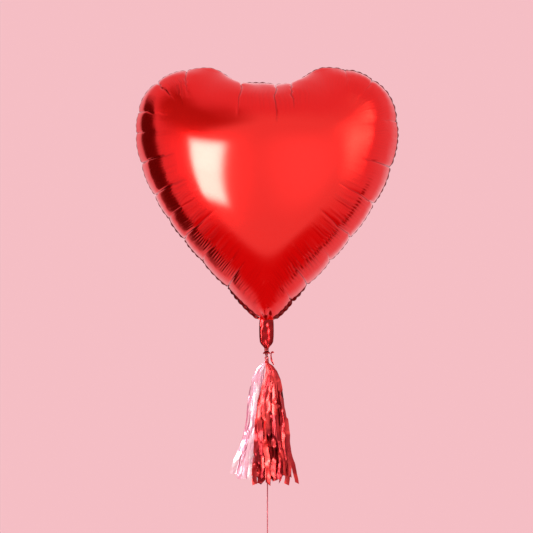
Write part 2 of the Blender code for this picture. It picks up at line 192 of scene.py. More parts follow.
# The tassel films are painted light and shade: their light colours stand for lit facets and
# highlights, their dark colours for shaded facets.
RED_FILM = film("red_film", (0.76, 0.055, 0.055), (0.25, 0.001, 0.01), 0.75, (0.36, 0.5),
                coat=0.15, **TASSEL)
PINK_FILM = film("pink_film", (0.97, 0.86, 0.95), (0.93, 0.42, 0.62), 0.2, (0.3, 0.42),
                 coat=0.3, **TASSEL)
RIBBON_FILM = film("ribbon_film", (0.4, 0.07, 0.1), (0.28, 0.03, 0.05), 0.35, (0.35, 0.5),
                   grain=(1500.0, 300.0), depth=0.04, stretch=(1.0, 1.0, 0.1))
STRING = string_material()
CLEAR = clear_material()


# ---- rows of points

def columns(*values):
    """The values side by side, one row for each point."""
    return np.stack(np.broadcast_arrays(*values), axis=1)


def upright(flat):
    """Points or directions (x, z) in the heart's plane, as (x, 0, z)."""
    return columns(flat[:, 0], 0.0, flat[:, 1])


def lengths(vectors):
    return np.linalg.norm(vectors, axis=1)


def unit(vectors):
    return vectors / lengths(vectors)[:, None]


def clamp(values):
    return np.clip(values, 0.0, 1.0)


def cross2(first, second):
    return first[:, 0] * second[:, 1] - first[:, 1] * second[:, 0]


def round_angles(count):
    return math.tau * np.arange(count) / count


def rows_at(s, known, rows):
    """The rows, which are given at the known places, at the places s."""
    return np.stack([np.interp(s, known, column) for column in rows.T], axis=1)


def reach_along(curve):
    return np.concatenate([[0.0], np.cumsum(lengths(np.diff(curve, axis=0)))])


def at(curve, values, s):
    """The values, given at the curve's points, at the places s along it."""
    return rows_at(s, reach_along(curve), values)


def resample(points, count):
    return at(points, points, np.linspace(0.0, reach_along(points)[-1], count))


def smooth_path(route, count):
    """A Catmull-Rom curve through the route, resampled at even steps."""
    knots = [np.array(p, dtype=float) for p in route]
    padded = [2 * knots[0] - knots[1]] + knots + [2 * knots[-1] - knots[-2]]
    dense = []
    for a, b, c, d in zip(padded, padded[1:], padded[2:], padded[3:]):
        for t in np.linspace(0.0, 1.0, 24, endpoint=False):
            dense.append(0.5 * (2 * b + (c - a) * t + (2 * a - 5 * b + 4 * c - d) * t * t
                                + (3 * b - a - 3 * c + d) * t ** 3))
    dense.append(knots[-1])
    return resample(np.array(dense), count)


# ---- meshes

def link_mesh(name, mesh, node, material, body):
    """The mesh as a piece that rides on a body and stands for a CAD node."""
    obj = new_object(name, mesh)
    mesh.materials.append(material)
    mesh.shade_smooth()
    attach(obj, body)
    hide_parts(node)
    return obj


def mesh_from(name, verts, faces):
    mesh = bpy.data.meshes.new(name)
    mesh.from_pydata(np.asarray(verts).tolist(), [], [list(map(int, f)) for f in faces])
    mesh.update()
    return mesh


def set_values(mesh, name, values):
    mesh.attributes.new(name, "FLOAT", "POINT").data.foreach_set("value", values)


def piece(name, verts, faces, node, material, body, slot, tone=None):
    mesh = mesh_from(name, verts, faces)
    if tone is not None:
        set_values(mesh, "tone", np.full(len(verts), tone))
    return link_mesh(name, mesh, node, material, body)


def grid_faces(rows, columns, closed=False, first=0):
    """Quads of a grid of rows x columns; closed joins the last column to the first."""
    last = columns if closed else columns - 1
    return [(first + r * columns + c, first + r * columns + (c + 1) % columns,
             first + (r + 1) * columns + (c + 1) % columns, first + (r + 1) * columns + c)
            for r in range(rows - 1) for c in range(last)]


def frames_along(path, closed):
    """Side and up vectors along a path, turning as little as possible."""
    if closed:
        tangent = unit(np.roll(path, -1, axis=0) - np.roll(path, 1, axis=0))
    else:
        tangent = unit(np.gradient(path, axis=0))
    start = np.array((0.0, -1.0, 0.0))
    if abs(tangent[0] @ start) > 0.9:
        start = np.array((1.0, 0.0, 0.0))
    side = np.empty_like(path)
    current = start - (start @ tangent[0]) * tangent[0]
    for k, direction in enumerate(tangent):
        current = current - (current @ direction) * direction
        current = current / np.linalg.norm(current)
        side[k] = current
    return side, np.cross(tangent, side)


def tube(path, section, closed=False):
    """A tube along the path; section(k) gives its outline there, as (side, up) pairs."""
    side, up = frames_along(path, closed)
    rings = []
    for k, point in enumerate(path):
        outline = section(k)
        rings.append(point + outline[:, :1] * side[k] + outline[:, 1:] * up[k])
    sides = len(rings[0])
    last = (len(path) - 1) * sides
    faces = grid_faces(len(path), sides, closed=True)
    if closed:
        faces += [(last + c, last + (c + 1) % sides, (c + 1) % sides, c)
                  for c in range(sides)]
    else:
        faces += [tuple(range(sides))[::-1], tuple(range(last, last + sides))]
    return np.concatenate(rings), faces


def rope_section(radius, per_turn, plies=2, lay=0.16):
    """Outline of a twisted cord, whose plies turn along it."""
    angle = round_angles(12)

    def section(k):
        turn = math.tau * k / per_turn
        reach = radius * (1.0 - lay + lay * np.abs(np.cos(0.5 * plies * (angle - turn))))
        return columns(reach * np.cos(angle), reach * np.sin(angle))
    return section


def tape_section(half_width, half_thick, turn):
    """Outline of a flat ribbon with rounded edges; turn(k) rotates it."""
    c, s = np.cos(round_angles(16)), np.sin(round_angles(16))
    flat = np.sign(c) * np.abs(c) ** 0.6 * half_width
    thick = np.sign(s) * np.abs(s) ** 0.6 * half_thick

    def section(k):
        c, s = math.cos(turn(k)), math.sin(turn(k))
        return columns(flat * s + thick * c, flat * c - thick * s)
    return section


# ---- ribbon

RIBBON_HALF = 0.9 * MM
RIBBON_THICK = 0.16 * MM        # half of it
RIBBON_ROUTE = ((1.45, -9.2), (2.2, -13.0), (2.8, -20.0), (3.0, -40.0), (2.2, -80.0),
                (1.6, -130.0), (1.4, -204.0), (1.5, -300.0))
END_KNOT_Z = -303.2 * MM
END_X = 1.5 * MM


def make_ribbon():
    look = (RIBBON_FILM, "tail", "ribbon_film")
    path = smooth_path([(x * MM, 0.0, z * MM) for x, z in RIBBON_ROUTE], 220)

    def turn(k):
        return 0.35 * math.sin(0.055 * k) + 0.2 * math.sin(0.021 * k + 1.0)
    tape = tube(path, tape_section(RIBBON_HALF, RIBBON_THICK, turn))
    ribbon = piece("ribbon_tape", *tape, "ribbon", *look)
    angle = np.linspace(0.0, 2.6 * math.tau, 90)
    radius = (1.75 + 0.25 * np.sin(1.7 * angle)) * MM
    knot_path = columns(END_X + radius * np.cos(angle),
                        (0.45 * np.sin(2.3 * angle) + 0.9 * np.cos(0.5 * angle)) * MM,
                        END_KNOT_Z + radius * np.sin(angle))
    wound = tube(knot_path, tape_section(0.85 * MM, 0.3 * MM, lambda k: 0.09 * k))
    knot = piece("ribbon_tail_knot", *wound, "ribbon_end_knot", *look)
    steps = round_angles(64)
    loop_path = columns(END_X + 8.0 * MM * np.sin(steps), 0.0,
                        END_KNOT_Z - 14.4 * MM + 10.4 * MM * np.cos(steps))
    ring = tube(loop_path, tape_section(RIBBON_HALF, RIBBON_THICK, lambda k: 1.57), closed=True)
    loop = piece("ribbon_finger_loop", *ring, "ribbon_end_loop", *look)


make_ribbon()


# ---- heart outlines

FLAT_HEART = ((11, 0), (138, 65), (228, 165), (233, 300), (235, 390), (190, 440), (100, 440),
              (76, 440), (62, 442), (45, 442), (30, 442), (15, 442), (0, 442))
FULL_HEART = ((10.5, 46), (76, 112), (195, 212), (200, 332), (200, 398), (158, 430),
              (92, 430), (70, 430), (56, 411), (40, 408.5), (26, 406.4), (12, 406), (0, 406))
SEAM_INSET = 3.5 * MM           # the margin leans back, so its edge stays near the outline
MARGIN_WIDTH = 5.5 * MM


def outline(controls):
    """The heart's open outline, from the tip's right corner to its left corner."""
    points = []
    t = np.linspace(0.0, 1.0, 160, endpoint=False)[:, None]
    for k in range(0, len(controls) - 1, 3):
        a, b, c, d = (np.array(p, float) * MM for p in controls[k:k + 4])
        points.append((1 - t) ** 3 * a + 3 * (1 - t) ** 2 * t * b + 3 * (1 - t) * t * t * c
                      + t ** 3 * d)
    right = np.concatenate(points + [np.array([controls[-1]], float) * MM])
    return np.concatenate([right, right[::-1][1:] * np.array((-1.0, 1.0))])


def outward(curve):
    tangent = unit(np.gradient(curve, axis=0))
    return columns(tangent[:, 1], -tangent[:, 0])


def inside(polygon, points):
    x, y = points[:, 0], points[:, 1]
    result = np.zeros(len(points), bool)
    previous = polygon[-1]
    for current in polygon:
        crosses = (current[1] > y) != (previous[1] > y)
        result ^= crosses & (x < (previous[0] - current[0]) * (y - current[1])
                             / (previous[1] - current[1] + 1e-15) + current[0])
        previous = current
    return result


def nearest(polyline, points):
    """Distance to the polyline, and the place along it, of each point."""
    best = np.full(len(points), 1e9)
    place = np.zeros(len(points))
    reached = reach_along(polyline)
    for k in range(len(polyline) - 1):
        step = polyline[k + 1] - polyline[k]
        t = clamp(((points - polyline[k]) @ step) / (step @ step + 1e-18))
        gap = lengths(points - polyline[k] - t[:, None] * step)
        closer = gap < best
        best[closer] = gap[closer]
        place[closer] = (reached[k] + t * (reached[k + 1] - reached[k]))[closer]
    return best, place


# ---- the flat pattern and its two nets

CREASES = (                     # angle round the heart's middle, size, length in mm
    (-78.6, 0.4, 18), (-69.0, 1.0, 52), (-52.0, 0.35, 20), (-35.1, 1.1, 66), (-12.8, 1.1, 62),
    (5.7, 1.0, 44), (24.2, 0.35, 25), (43.0, 0.5, 34), (54.0, 0.3, 20), (75.5, 1.0, 44),
    (84.6, 1.1, 64), (104.9, 1.2, 56), (126.5, 0.9, 44), (138.6, 0.9, 44), (152.2, 0.6, 24),
    (160.4, 0.4, 14), (172.6, 1.0, 52), (188.1, 1.0, 54), (202.0, 0.3, 12), (216.2, 1.1, 66),
    (232.0, 0.3, 16), (250.4, 1.0, 46))
HEART_MIDDLE = np.array((0.0, 0.26))
# A net of the flat pattern: its step at the rim and the step's growth inwards, how deep its
# rings go, its parts across the gate, and extra points beside each crease.
COARSE = {"step": 3.2 * MM, "growth": 1.1, "band": 66.0 * MM, "gate": 8, "beside": ()}
FINE = {"step": 1.25 * MM, "growth": 1.011, "band": 104.0 * MM, "gate": 16,
        "beside": (0.6 * MM,)}
GATE_DEPTH = 3.2 * MM           # how far the gate bows forwards and backwards


def seam_angle(seam):
    return np.degrees(np.unwrap(np.arctan2(seam[:, 1] - HEART_MIDDLE[1], seam[:, 0])))


def rim_places(flat, seam, net):
    """Where the rim's points lie on the flat pattern and on the seam, and its creases."""
    flat_length = reach_along(flat)[-1]
    seam_length = reach_along(seam)[-1]
    centres = [float(np.interp(degrees, seam_angle(seam), reach_along(seam)))
               for degrees, _, _ in CREASES]
    stops = [0.0] + [c * flat_length / seam_length for c in centres] + [flat_length]
    places = []
    for low, high in zip(stops, stops[1:]):
        near = [low + gap for gap in net["beside"]]
        far = [high - gap for gap in net["beside"]]
        start, end = (near or [low])[-1], (far or [high])[0]
        count = max(2, round((end - start) / net["step"]))
        between = [start + (end - start) * k / count for k in range(1, count)]
        places += [low] + near + between + far
    on_flat = np.array(places + [flat_length])
    return on_flat, on_flat * seam_length / flat_length, stops[1:-1]


def spaced(candidates, kept, least):
    """The candidates that stay at least this far from each other and from kept."""
    cells = {}

    def cell(p):
        return int(math.floor(p[0] / least)), int(math.floor(p[1] / least))
    for p in kept:
        cells.setdefault(cell(p), []).append(p)
    chosen = []
    for p in candidates:
        i, j = cell(p)
        near = (q for a in (-1, 0, 1) for b in (-1, 0, 1)
                for q in cells.get((i + a, j + b), ()))
        if all((q[0] - p[0]) ** 2 + (q[1] - p[1]) ** 2 >= least * least for q in near):
            chosen.append(p)
            cells.setdefault((i, j), []).append(p)
    return chosen


def inner_points(flat, rim, on_flat, folds, net):
    """Points inside the flat pattern: rings along the rim, then an even net."""
    chance = np.random.default_rng(5)
    inward = -at(flat, outward(flat), on_flat)
    off_fold = np.min(np.abs(on_flat[:, None] - np.array(folds)), axis=1)
    folds_first = np.argsort(off_fold > 0.1 * MM, kind="stable")
    points = [tuple(p) for p in rim]
    step = net["step"]
    depth = 0.0
    while depth < net["band"]:
        depth += step
        ring = (rim + inward * depth)[folds_first]
        ring = ring[inside(rim, ring)]
        ring = ring[nearest(rim, ring)[0] > 0.97 * depth]
        points += spaced([tuple(p) for p in ring], points, 0.5 * step)
        step *= net["growth"]
    row_gap = step * math.sqrt(3.0) / 2.0
    even = [(x + (0.5 * step if row % 2 else 0.0), z)
            for row, z in enumerate(np.arange(-0.01, 0.48, row_gap))
            for x in np.arange(-0.26, 0.26, step)]
    even = np.array(even) + chance.uniform(-0.08, 0.08, (len(even), 2)) * step
    even = even[inside(rim, even)]
    even = even[nearest(rim, even)[0] > depth + 0.4 * step]
    points += spaced([tuple(p) for p in even], points, 0.62 * step)
    return np.array(points[len(rim):])


def make_pattern(net):
    """The flat pattern, its triangles, and where its rim and gate go when inflated.

    The gate is the row of points across the tip, where the neck opens into the heart.
    """
    flat, full = outline(FLAT_HEART), outline(FULL_HEART)
    seam = full - outward(full) * SEAM_INSET
    seam[[0, -1]] = full[[0, -1]]
    on_flat, on_seam, folds = rim_places(flat, seam, net)
    rim = at(flat, flat, on_flat)
    gate = rim[-1] + (rim[0] - rim[-1]) * np.linspace(0, 1, net["gate"] + 1)[1:-1, None]
    loop = np.concatenate([rim, gate])
    points = np.concatenate([loop, inner_points(flat, rim, on_flat, folds, net)])
    edges = [(k, (k + 1) % len(loop)) for k in range(len(loop))]
    made = delaunay_2d_cdt([Vector(p) for p in points], edges, [], 1, 1e-7)
    verts = np.array([tuple(v) for v in made[0]])
    faces = np.array([list(f) for f in made[2] if len(f) == 3])
    new_place = {old: k for k, sources in enumerate(made[3]) for old in sources}
    held = np.array([new_place[k] for k in range(len(loop))])
    a, b, c = (verts[faces[:, k]] for k in range(3))
    turned = cross2(b - a, c - a) < 0
    faces[turned] = faces[turned][:, ::-1]
    across = np.linspace(-1.0, 1.0, net["gate"] + 1)[1:-1]
    half_width, height = FULL_HEART[0]
    return {"verts": verts, "faces": faces, "rim": rim, "held": held,
            "rim_at": held[:len(rim)], "gate_at": held[len(rim):],
            "on_flat": on_flat, "on_seam": on_seam, "seam": seam, "folds": folds,
            "seat": upright(at(seam, seam, on_seam)),
            "normal": upright(unit(at(seam, outward(seam), on_seam))),
            "gate_seat": columns(half_width * MM * across,
                                 GATE_DEPTH * np.sqrt(1.0 - across ** 2), height * MM),
            "angle": np.interp(on_seam, reach_along(seam), seam_angle(seam))}


# ---- inflation

CLOTH_SCALE = 10.0
CLOTH = {"quality": 5, "mass": 0.1, "tension_stiffness": 100.0,
         "compression_stiffness": 0.5, "shear_stiffness": 1.0, "bending_stiffness": 0.5,
         "uniform_pressure_force": 4.0, "air_damping": 1.0}
FRAMES = 14
FLAT_CENTRE = np.array((0.0, 0.25))
FULL_CENTRE = np.array((0.0, 0.27))
START_HEIGHT = 0.085


def start_shape(pattern):
    """A first dome: the pattern drawn in to the seam."""
    rim, on_flat = pattern["rim"], pattern["on_flat"]
    offset = pattern["verts"] - FLAT_CENTRE
    around = rim - FLAT_CENTRE
    angle = np.arctan2(offset[:, 0], -offset[:, 1]) % math.tau
    rim_angle = np.unwrap(np.arctan2(around[:, 0], -around[:, 1]))
    order = np.argsort(rim_angle)
    hit = np.interp(angle, rim_angle[order], on_flat[order])
    radius = lengths(rows_at(hit, on_flat, rim) - FLAT_CENTRE)
    share = clamp(lengths(offset) / radius)
    drawn = 0.35 * np.sin(0.5 * math.pi * share) + 0.65 * share
    target = at(pattern["seam"], pattern["seam"], np.interp(hit, on_flat, pattern["on_seam"]))
    flat = FULL_CENTRE + drawn[:, None] * (target - FULL_CENTRE)
    height = START_HEIGHT * np.sqrt(clamp(1.0 - share ** 2.2)) * clamp(radius / 0.12)
    return columns(flat[:, 0], height, flat[:, 1])


def inflate(pattern):
    """Both films, welded at the seam, blown up with Blender's cloth.

    Returns the points, each film's triangles, and the points' normals.
    """
    verts, faces, gate = pattern["verts"], pattern["faces"], pattern["gate_seat"]
    count = len(verts)
    own = np.setdiff1d(np.arange(count), pattern["rim_at"])     # points not in the seam
    back = np.arange(count)
    back[own] = count + np.arange(len(own))
    source = np.concatenate([np.arange(count), own])
    start = start_shape(pattern)[source]
    start[:count, 1] *= -1.0
    start[pattern["rim_at"]] = pattern["seat"]
    start[pattern["gate_at"]] = gate * np.array((1.0, -1.0, 1.0))
    start[back[pattern["gate_at"]]] = gate
    both = np.concatenate([faces, back[faces][:, ::-1]])
    mesh = mesh_from("inflating", start * CLOTH_SCALE, both)
    obj = new_object("inflating", mesh)
    obj.shape_key_add(name="Basis")
    flat_key = obj.shape_key_add(name="flat")
    flat_key.data.foreach_set("co", (upright(verts[source]) * CLOTH_SCALE).ravel())
    pinned = obj.vertex_groups.new(name="pinned")
    held = np.concatenate([pattern["held"], back[pattern["gate_at"]]])
    pinned.add([int(k) for k in held], 1.0, "REPLACE")
    obj.modifiers.new("normals", "WEIGHTED_NORMAL")
    cloth = obj.modifiers.new("cloth", "CLOTH")
    for key, value in CLOTH.items():
        setattr(cloth.settings, key, value)
    cloth.settings.rest_shape_key = flat_key
    cloth.settings.use_pressure = True
    cloth.settings.effector_weights.gravity = 0.0
    cloth.settings.vertex_group_mass = "pinned"
    cloth.settings.pin_stiffness = 1.0
    cloth.collision_settings.use_collision = False
    cloth.point_cache.frame_start = 1
    cloth.point_cache.frame_end = FRAMES
    for step in range(1, FRAMES + 1):
        SCENE.frame_set(step)
    graph = bpy.context.evaluated_depsgraph_get()
    blown = obj.evaluated_get(graph).to_mesh()
    places = np.empty(3 * len(blown.vertices))
    blown.vertices.foreach_get("co", places)
    bpy.data.objects.remove(obj, do_unlink=True)
    places = relaxed(places.reshape(-1, 3) / CLOTH_SCALE, both, held, (0.6,) * 16)
    return places, faces, back[faces], point_normals(places, both)


def point_normals(places, faces):
    """The surface's unit normal at each point."""
    a, b, c = (places[faces[:, k]] for k in range(3))
    square = np.cross(b - a, c - a)
    total = np.zeros_like(places)
    for k in range(3):
        for axis in range(3):
            total[:, axis] += np.bincount(faces[:, k], square[:, axis], len(places))
    return total / (np.linalg.norm(total, axis=1)[:, None] + 1e-18)


def draped(net, pattern, corner_faces, places, normals, side):
    """The fine net laid over one blown film, curved between the film's points."""
    flat = upright(pattern["verts"]).tolist()
    tree = BVHTree.FromPolygons(flat, [tuple(f) for f in pattern["faces"].tolist()])
    hit = np.array([tree.find_nearest((x, 0.0, z))[2] for x, z in net["verts"]])
    spot = net["verts"]
    a, b, c = (pattern["verts"][pattern["faces"][hit, k]] for k in range(3))
    share = columns(cross2(b - spot, c - spot), cross2(c - spot, a - spot),
                    cross2(a - spot, b - spot)) / cross2(b - a, c - a)[:, None]
    share = clamp(share)
    share /= share.sum(axis=1)[:, None]
    corners = places[corner_faces[hit]]
    square = normals[corner_faces[hit]]
    point = (share[:, :, None] * corners).sum(axis=1)
    above = ((point[:, None] - corners) * square).sum(axis=2)
    point -= 0.7 * ((share * above)[:, :, None] * square).sum(axis=1)
    point[net["rim_at"]] = net["seat"]
    point[net["gate_at"]] = net["gate_seat"] * np.array((1.0, side, 1.0))
    return relaxed(point, net["faces"], net["held"], (0.6, -0.63) * 14)


def relaxed(places, faces, held, steps):
    """The film with its chance buckles smoothed away; the held points stay."""
    pairs = np.concatenate([faces[:, [0, 1]], faces[:, [1, 2]], faces[:, [2, 0]]])
    pairs = np.unique(np.sort(pairs, axis=1), axis=0)
    count = np.bincount(pairs.ravel(), minlength=len(places))[:, None]
    still = places[held]
    for step in steps:
        total = np.zeros_like(places)
        for k in range(3):
            total[:, k] = (np.bincount(pairs[:, 0], places[pairs[:, 1], k], len(places))
                           + np.bincount(pairs[:, 1], places[pairs[:, 0], k], len(places)))
        places = (1.0 - step) * places + step * total / count
        places[held] = still
    return places


def subdivided(mesh):
    """The mesh after one step of Catmull-Clark subdivision."""
    obj = new_object("subdividing", mesh)
    modifier = obj.modifiers.new("smooth", "SUBSURF")
    modifier.levels = modifier.render_levels = 1
    graph = bpy.context.evaluated_depsgraph_get()
    graph.update()
    name = mesh.name
    made = bpy.data.meshes.new_from_object(obj.evaluated_get(graph))
    bpy.data.objects.remove(obj, do_unlink=True)
    bpy.data.meshes.remove(mesh)
    made.name = name
    return made


# ---- creases and wrinkles

COMB = (                        # angle, strength and spacing in mm of the fine wrinkles
    (-90, 0.3, 6.0), (-72, 0.7, 6.0), (-66, 1.0, 6.2), (-36, 1.0, 6.4), (-14, 1.0, 6.2),
    (-11, 0.3, 6.0), (6, 0.15, 6.0), (25, 0.3, 5.0), (43, 0.35, 5.0), (60, 0.15, 6.0),
    (84, 0.3, 7.5), (100, 0.15, 7.5), (108, 0.05, 6.0), (126, 0.1, 5.0), (127, 0.9, 5.0),
    (138, 0.9, 5.0), (140, 0.15, 5.0), (171, 0.2, 5.0), (174, 0.5, 4.8), (187, 0.6, 4.6),
    (202, 0.8, 4.6), (216, 1.0, 4.8), (249, 1.0, 4.8), (254, 0.4, 5.0), (270, 0.2, 5.0))
PUCKERS = (                     # angle, and size of the small puckers at the seam
    (-90, 0.4), (-35, 1.0), (-14, 0.9), (5, 0.7), (24, 1.0), (60, 0.9), (76, 0.3), (90, 0.5),
    (104, 0.2), (126, 0.15), (188, 0.25), (202, 0.8), (232, 1.0), (252, 0.7), (270, 0.3))
MARGIN_LEAN = (                 # angle, and how far the margin leans back, in degrees
    (-90, 20), (-80, 30), (-74, 60), (-66, 92), (-20, 90), (-8, 78), (24, 72), (52, 74),
    (66, 84), (86, 84), (92, 70), (102, 76), (110, 92), (190, 90), (205, 76), (240, 76),
    (252, 66), (262, 30), (270, 20))
CREASE_DEPTH = 3.2 * MM
CREASE_GAP = 0.85 * MM          # half the width of a crease's line of painted shade
LOBE_RISE = 3.0 * MM            # of the cushions between creases
LOBE_REACH = 58.0 * MM
WIDE_LOBE = 60.0 * MM
PUCKER = 0.55 * MM
PUCKER_STEP = 12.5 * MM
PUCKER_REACH = 6.0 * MM
COMB_RISE = 0.8 * MM
END_FADE = 12.0 * MM


def along_table(table, column, angle):
    rows = np.array(table, float)
    return np.interp(angle, rows[:, 0], rows[:, column])


class Relief:
    """Heights that creases, lobes, puckers and fine wrinkles add to the smooth film.

    A place is a length along the flat pattern's rim; a depth is how far inside the seam a
    point is seen.
    """

    def __init__(self, pattern, seed):
        chance = np.random.default_rng(seed)
        self.folds = np.array(pattern["folds"])
        self.sizes = np.array([c[1] for c in CREASES])
        self.lengths = np.array([c[2] for c in CREASES]) * MM
        self.fine = fine = np.linspace(0.0, pattern["on_flat"][-1], 6000)
        angle = np.interp(fine, pattern["on_flat"], pattern["angle"])
        self.comb = along_table(COMB, 1, angle)
        self.pucker = along_table(PUCKERS, 1, angle)
        spacing = along_table(COMB, 2, angle) * MM
        uneven = 1.0 + 0.22 * np.sin(fine / 0.011 + seed) * np.sin(fine / 0.0267)
        self.turns = np.cumsum(uneven / spacing) * (fine[1] - fine[0])
        count = int(self.turns[-1]) + 3
        self.strength = chance.uniform(0.35, 1.2, count)
        self.start = chance.uniform(8.0, 14.0, count) * MM
        self.reach = chance.uniform(34.0, 62.0, count) * MM
        self.pucker_turns = fine / PUCKER_STEP + 0.18 * np.sin(fine / 0.019 + seed)
        self.pucker_size = chance.uniform(0.5, 1.2, int(self.pucker_turns[-1]) + 3)

    def cell(self, place, turns):
        """How many waves lie before the place, and the number of the wave it is in."""
        turn = np.interp(place, self.fine, turns)
        return turn, np.clip(np.floor(turn).astype(int) + 1, 0, None)

    def creases(self, place, depth):
        squeeze = 0.857 + 0.143 * clamp(depth / 0.08)
        height = np.zeros_like(place)
        for centre, size, length in zip(self.folds, self.sizes, self.lengths):
            apart = np.abs(place - centre) * squeeze
            width = (0.8 + 0.5 * clamp(depth / length)) * MM
            fade = clamp(1.0 - depth / length)
            ease = 0.3 + 0.7 * fade
            height -= size * CREASE_DEPTH * fade ** 0.5 * ease * np.exp(-apart / width)
        return height

    def painted_fold_shade(self, place, depth):
        """How closely the film is folded on itself there, 0 to 1; the foil shows it as painted
        shade along the creases and in the troughs of the fine wrinkles.
        """
        tight = np.zeros_like(place)
        for centre, size, length in zip(self.folds, self.sizes, self.lengths):
            fade = clamp(1.5 - 1.5 * depth / length) ** 0.5 * min(size, 1.0)
            line = np.exp(-(np.abs(place - centre) / CREASE_GAP) ** 2)
            tight = np.maximum(tight, fade * line)
        size, ridge = self.wrinkles(place, depth)
        return np.maximum(tight, np.clip(0.5 * size * (1.0 - ridge), 0.0, 0.65))

    def lobes(self, place, depth):
        order = np.searchsorted(self.folds, place)
        stops = np.concatenate([[0.0], self.folds, [self.fine[-1]]])
        before, after = stops[order], stops[order + 1]
        span = np.maximum(after - before, 1e-6)
        share = clamp((place - before) / span)
        rise = np.sqrt(clamp(4.0 * share * (1.0 - share)))
        weight = np.minimum(span / WIDE_LOBE, 1.0)
        return LOBE_RISE * weight * rise * clamp(1.0 - depth / LOBE_REACH) ** 1.6

    def puckers(self, place, depth):
        turn, index = self.cell(place, self.pucker_turns)
        size = self.pucker_size[index] * np.interp(place, self.fine, self.pucker)
        return PUCKER * size * np.abs(np.sin(math.pi * turn)) * np.exp(-depth / PUCKER_REACH)

    def wrinkles(self, place, depth):
        """The fine wrinkles' size there, and how much of it is ridge."""
        turn, index = self.cell(place, self.turns)
        size = self.strength[index] * np.interp(place, self.fine, self.comb)
        rise = clamp((depth - self.start[index]) / 0.009)
        fall = clamp((self.reach[index] - depth) / 0.02)
        ridge = (0.5 - 0.5 * np.cos(math.tau * turn)) ** 1.4
        return size * rise * fall, ridge

    def ends(self, place):
        """0 where the rim meets the neck, and 1 all along the rest."""
        return clamp(np.minimum(place, self.fine[-1] - place) / END_FADE)

    def large(self, place, depth):
        return self.creases(place, depth) + self.lobes(place, depth) + self.puckers(place, depth)

    def rim(self, place):
        return self.ends(place) * self.large(place, np.zeros_like(place))

    def body(self, place, depth):
        size, ridge = self.wrinkles(place, depth)
        return self.ends(place) * (self.large(place, depth) + COMB_RISE * size * ridge)


def gathers(points):
    """Folds that fan out from the neck over the heart's tip."""
    away = points[:, ::2] - np.array((0.0, 0.034))
    reach = lengths(away)
    angle = np.arctan2(away[:, 0], away[:, 1])
    fade = clamp((reach - 0.010) / 0.01) * np.exp(-np.maximum(reach - 0.02, 0) / 0.02)
    height = np.cos(8.0 * angle + 0.7) + 0.5 * np.cos(13.0 * angle + 60.0 * reach)
    return 1.3 * MM * fade * height * clamp(1.5 - np.abs(angle))


def shaped(points, net, faces, relief, depth, place):
    """The film moved by the relief, and how tightly it is folded there, which sets its painted
    shade.

    It moves sideways at the seam and square to itself further in.
    """
    out = rows_at(place, net["on_flat"], net["normal"])
    blend = clamp(depth / 0.006)[:, None]
    direction = unit(out * (1.0 - blend) + point_normals(points, faces) * blend)
    seen, _ = nearest(net["seat"][::4, ::2], points[:, ::2])
    moved = points + direction * relief.body(place, seen)[:, None]
    return moved + direction * gathers(points)[:, None], relief.painted_fold_shade(place, seen)


def make_margin(pattern, relief):
    """The welded margin: leans back round the film, scalloped by the puckers."""
    on_flat = pattern["on_flat"]
    place = np.linspace(0.0, on_flat[-1], len(on_flat))
    out = rows_at(place, on_flat, pattern["normal"])
    seat = rows_at(place, on_flat, pattern["seat"]) + out * relief.rim(place)[:, None]
    turn, _ = relief.cell(place, relief.pucker_turns)
    lean = np.radians(along_table(MARGIN_LEAN, 1, np.interp(place, on_flat, pattern["angle"])))
    lean += np.radians(16.0) * (0.5 - np.abs(np.sin(math.pi * turn)))
    rows = []
    for share in (0.0, 0.35, 0.7, 1.0):
        bend = lean * (0.6 + 0.4 * share)
        width = share * MARGIN_WIDTH
        row = seat + out * (width * np.cos(bend))[:, None]
        row[:, 1] += width * np.sin(bend)
        row[:, 1] += 0.5 * MM * share * np.sin(math.tau * turn)
        rows.append(row)
    faces = grid_faces(len(rows), len(place))
    mesh = subdivided(mesh_from("edge_margin", np.concatenate(rows), faces))
    link_mesh("edge_margin", mesh, "edge_seal", SEAM, "balloon")


def make_balloon():
    pattern = make_pattern(COARSE)
    net = make_pattern(FINE)
    places, front, back, normals = inflate(pattern)
    depth, place = nearest(pattern["rim"], net["verts"])
    relief = Relief(net, 4)
    for name, corner_faces, side in (("front_panel", front, -1.0), ("back_panel", back, 1.0)):
        faces = net["faces"] if side < 0 else net["faces"][:, ::-1]
        points = draped(net, pattern, corner_faces, places, normals, side)
        points, tight = shaped(points, net, faces, relief, depth, place)
        # The foil's tone is painted shade: darker where the film is folded tightly, along the
        # creases and between the fine wrinkles.
        panel = piece(name + "_foil", points, faces, name, FOIL, "balloon", "red_foil",
                      1.0 - tight)
    make_margin(net, relief)


make_balloon()


# ---- neck and tie

NECK_PROFILE = ((46.0, 10.5, 3.2), (40.0, 11.0, 3.6), (30.0, 11.2, 4.2), (20.0, 11.0, 4.2),
                (12.0, 10.2, 4.0), (8.0, 7.8, 3.7), (5.0, 5.0, 3.2), (2.2, 3.2, 2.7))


GATHER_PROFILE = ((-5.7, 4.8), (-4.2, 4.6), (-2.8, 3.5), (-2.2, 2.1), (0.0, 2.0), (2.4, 2.1),
                  (3.4, 2.2))   # height and radius of the gathered end, in mm


